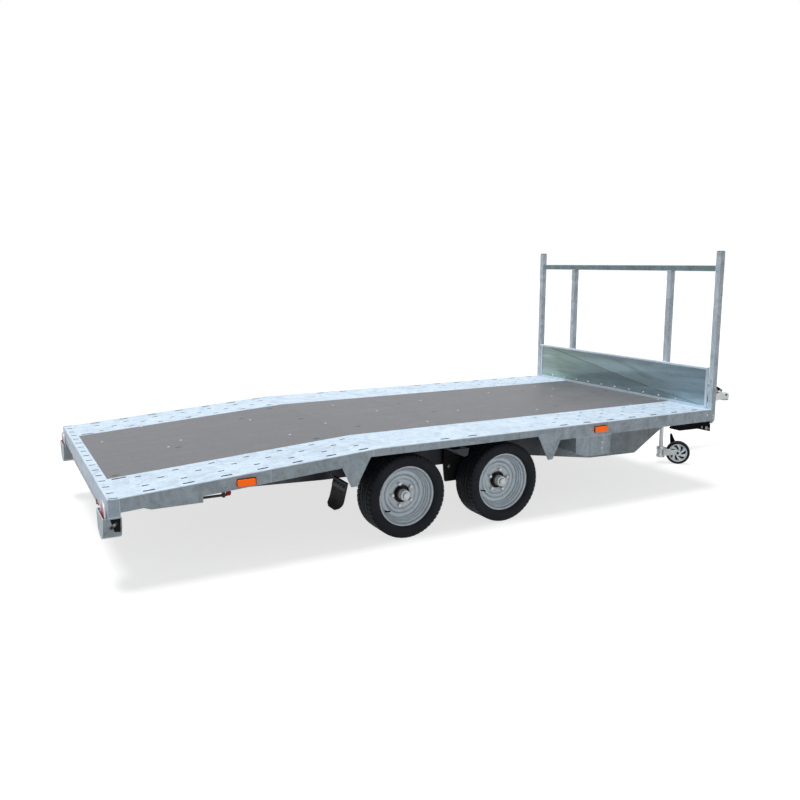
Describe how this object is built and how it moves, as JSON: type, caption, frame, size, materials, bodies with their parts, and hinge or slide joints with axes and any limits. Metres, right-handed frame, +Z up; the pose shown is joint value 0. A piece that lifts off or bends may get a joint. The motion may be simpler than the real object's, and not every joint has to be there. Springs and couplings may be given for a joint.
{
  "type": "beavertail trailer",
  "caption": "flat car transporter trailer with a sloping tail, a timber deck between slotted galvanised runways, a tall front headboard, road wheels on close axles and a jockey wheel",
  "frame": {"origin": "on the ground below the middle of the trailer's overall box", "axes": "+X forward to the coupling, +Y to the trailer's left, +Z up"},
  "size_m": [5.609, 2.092, 1.725],
  "materials": {
    "galvanised": "hot-dip galvanised, mottled pale grey with stains",
    "board": "film-faced plywood, matt grey-brown",
    "tyre": "black road rubber",
    "rim": "silver paint, satin",
    "hub": "grey drum with a bright cap",
    "housing": "zinc grey",
    "black_metal": "black, satin",
    "rubber": "matt black rubber",
    "zinc": "bright zinc plate",
    "jockey_hub": "pale grey moulded centre",
    "red_lens": "red lens",
    "amber_lens": "amber lens",
    "black_plastic": "black moulded plastic"
  },
  "bodies": {
    "chassis": {"side_rail_right": "galvanised", "side_rail_left": "galvanised", "runway_right": "galvanised", "runway_left": "galvanised", "rear_beam": "galvanised", "board_front": "board", "board_middle": "board", "board_tail": "board", "cross_members_deck": "galvanised", "cross_members_tail": "galvanised", "chassis_beam_right": "galvanised", "chassis_beam_left": "galvanised", "axle_rear": "galvanised", "axle_front": "galvanised", "headboard_frame": "galvanised", "headboard_panel": "galvanised", "drawbar_arms": "galvanised", "overrun_housing": "housing", "towing_shaft": "galvanised", "shaft_gaiter": "rubber", "coupling_head": "galvanised", "jockey_tube": "zinc", "lamp_guards": "galvanised", "rear_lamps": "red_lens", "rear_board": "galvanised", "side_markers": "amber_lens", "front_lamp_arms": "black_plastic", "mudflaps": "rubber", "mudflap_brackets": "galvanised", "tool_box": "galvanised", "tail_trays": "galvanised", "locking_rods": "black_metal"},
    "coupling_handle": {"coupling_handle": "black_metal"},
    "parking_lever": {"parking_lever": "black_metal"},
    "jockey_leg": {"jockey_leg": "zinc"},
    "jockey_fork": {"jockey_fork": "zinc"},
    "jockey_wheel": {"jockey_tyre": "rubber", "jockey_rim": "jockey_hub"},
    "wheel_rear_right": {"tyre_rear_right": "tyre", "rim_rear_right": "rim", "hub_rear_right": "hub"},
    "wheel_rear_left": {"tyre_rear_left": "tyre", "rim_rear_left": "rim", "hub_rear_left": "hub"},
    "wheel_front_right": {"tyre_front_right": "tyre", "rim_front_right": "rim", "hub_front_right": "hub"},
    "wheel_front_left": {"tyre_front_left": "tyre", "rim_front_left": "rim", "hub_front_left": "hub"}
  },
  "joints": [
    {"name": "wheel_spin_rear_right", "type": "hinge", "parent": "chassis", "child": "wheel_rear_right", "pos_m": [-1.0695, -0.88, 0.256], "axis": [0, 1, 0], "continuous": true},
    {"name": "wheel_spin_rear_left", "type": "hinge", "parent": "chassis", "child": "wheel_rear_left", "pos_m": [-1.0695, 0.88, 0.256], "axis": [0, 1, 0], "continuous": true},
    {"name": "wheel_spin_front_right", "type": "hinge", "parent": "chassis", "child": "wheel_front_right", "pos_m": [-0.3695, -0.88, 0.256], "axis": [0, 1, 0], "continuous": true},
    {"name": "wheel_spin_front_left", "type": "hinge", "parent": "chassis", "child": "wheel_front_left", "pos_m": [-0.3695, 0.88, 0.256], "axis": [0, 1, 0], "continuous": true},
    {"name": "jockey_lift", "type": "slide", "parent": "chassis", "child": "jockey_leg", "axis": [0, 0, 1], "range_m": [-0.06, 0.1]},
    {"name": "jockey_swivel", "type": "hinge", "parent": "jockey_leg", "child": "jockey_fork", "pos_m": [1.6935, -0.29225, 0.1], "axis": [0, 0, 1], "continuous": true},
    {"name": "jockey_spin", "type": "hinge", "parent": "jockey_fork", "child": "jockey_wheel", "pos_m": [1.78797, -0.39008, 0.095], "axis": [0.7193, 0.6947, 0], "continuous": true},
    {"name": "coupling_handle_lift", "type": "hinge", "parent": "chassis", "child": "coupling_handle", "pos_m": [2.6965, 0, 0.498], "axis": [0, 1, 0], "range_deg": [0, 50]},
    {"name": "parking_lever_pull", "type": "hinge", "parent": "chassis", "child": "parking_lever", "pos_m": [2.2605, 0, 0.519], "axis": [0, 1, 0], "range_deg": [-45, 0]}
  ]
}
